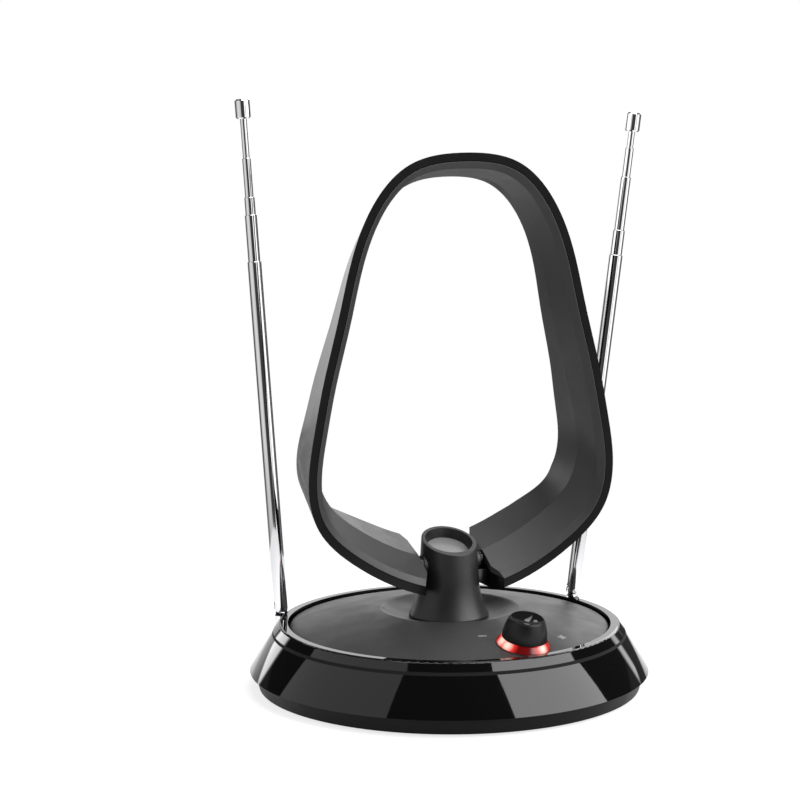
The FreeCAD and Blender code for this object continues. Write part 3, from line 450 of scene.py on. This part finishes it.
def studio_levels(tree):
    """The studio's brightness by direction: what gloss shows, and the soft fill for matte faces."""
    coords = tree.nodes.new("ShaderNodeTexCoord").outputs["Generated"]
    turned = tree.nodes.new("ShaderNodeMapping")
    turned.inputs["Rotation"].default_value = (0.0, 0.0, -FRONT)
    tree.links.new(coords, turned.inputs["Vector"])
    ways = axes(tree, turned.outputs["Vector"])
    azimuth = math_node(tree, "DEGREES", math_node(tree, "ARCTAN2", ways["Y"], ways["X"]))
    share = spread(tree, azimuth, 0.0, 1.0, -180.0, 180.0)
    elevation = math_node(tree, "DEGREES", math_node(tree, "ARCSINE", ways["Z"]))
    sides, back, high = (ramp(tree, share, [((turn + 180) / 360, level / PEAK) for turn, level in stops])
                         for stops in (SIDES, BACK, HIGH))
    sides = math_node(tree, "MULTIPLY", sides, inside(tree, elevation, NADIR, SIDES_TOP))
    back = math_node(tree, "MULTIPLY", back, spread(tree, elevation, BACK_LOW, 1.0, *BACK_FALL))
    back = math_node(tree, "MULTIPLY", back, inside(tree, elevation, NADIR, BACK_TOP))
    high = math_node(tree, "MULTIPLY", high, inside(tree, elevation, BACK_TOP, HIGH_TOP))
    level = math_node(tree, "ADD", math_node(tree, "ADD", sides, back), high)
    level = math_node(tree, "MULTIPLY_ADD", level, PEAK, CEILING)
    for turns, rises, bright in WINDOWS:
        pane = math_node(tree, "MULTIPLY", inside(tree, azimuth, *turns), inside(tree, elevation, *rises))
        level = math_node(tree, "MULTIPLY_ADD", pane, bright, level)
    level = between(tree, spread(tree, elevation, 0.0, 1.0, *GROUND_EDGE), GROUND, level, kind="FLOAT")
    return level, spread(tree, ways["X"], *FILL, -1.0, 1.0)


def rays_that_show(tree):
    """1 for rays that show the studio in gloss or through clear pieces, and 1 for the camera's own rays."""
    path = tree.nodes.new("ShaderNodeLightPath").outputs
    mirrored = math_node(tree, "MAXIMUM", path["Is Glossy Ray"], path["Is Transmission Ray"])
    return mirrored, path["Is Camera Ray"]


world = bpy.data.worlds.new("surroundings")
world.use_nodes = True
scene.world = world
tree = world.node_tree
backdrop = tree.nodes["Background"]
backdrop.inputs["Color"].default_value = WHITE
mirrored, straight = rays_that_show(tree)
shown, fill = studio_levels(tree)
level = between(tree, mirrored, fill, shown, kind="FLOAT")
level = between(tree, straight, level, 1.0, kind="FLOAT")
tree.links.new(level, backdrop.inputs["Strength"])


# Pale floor that fades into the white surroundings and keeps a faint shadow

FLOOR_R = 0.34
FLOOR_FADE = (0.2, 0.306)
FLOOR_TONES = (grey(0.36), grey(0.38))
FLOOR_PATCH_SCALE = 8.0
FLOOR_ROUGH = 0.8
FLOOR_LIFT = 0.75
FLOOR_SIDES = 96
FLOOR_Z = -0.0002


def pale_floor():
    """The floor's material, which shows a little light of its own and turns white towards its edge."""
    made, tree, shader, coords = material("pale_floor")
    tone = between(tree, noise(tree, coords, FLOOR_PATCH_SCALE), *FLOOR_TONES)
    tree.links.new(tone, shader.inputs["Base Color"])
    shader.inputs["Roughness"].default_value = FLOOR_ROUGH
    shader.inputs["Specular IOR Level"].default_value = 0.0
    shader.inputs["Emission Color"].default_value = WHITE
    mirrored, straight = rays_that_show(tree)
    shows = math_node(tree, "MAXIMUM", mirrored, straight)
    tree.links.new(math_node(tree, "MULTIPLY", shows, FLOOR_LIFT), shader.inputs["Emission Strength"])
    white = tree.nodes.new("ShaderNodeEmission")
    white.inputs["Strength"].default_value = 1.0
    away = vector_node(tree, "DISTANCE", coords, (0.0, 0.0, 0.0))
    fade = tree.nodes.new("ShaderNodeMixShader")
    tree.links.new(spread(tree, away, 0.0, 1.0, *FLOOR_FADE), fade.inputs["Fac"])
    tree.links.new(shader.outputs["BSDF"], fade.inputs[1])
    tree.links.new(white.outputs["Emission"], fade.inputs[2])
    tree.links.new(fade.outputs["Shader"], tree.nodes["Material Output"].inputs["Surface"])
    return made


corners = [math.tau * k / FLOOR_SIDES for k in range(FLOOR_SIDES)]
floor_mesh = bpy.data.meshes.new("floor")
outline = [(FLOOR_R * math.cos(corner), FLOOR_R * math.sin(corner), 0.0) for corner in corners]
floor_mesh.from_pydata(outline, [], [tuple(range(FLOOR_SIDES))])
floor_mesh.materials.append(pale_floor())
floor = bpy.data.objects.new("floor", floor_mesh)
scene.collection.objects.link(floor)
floor.location.z = FLOOR_Z
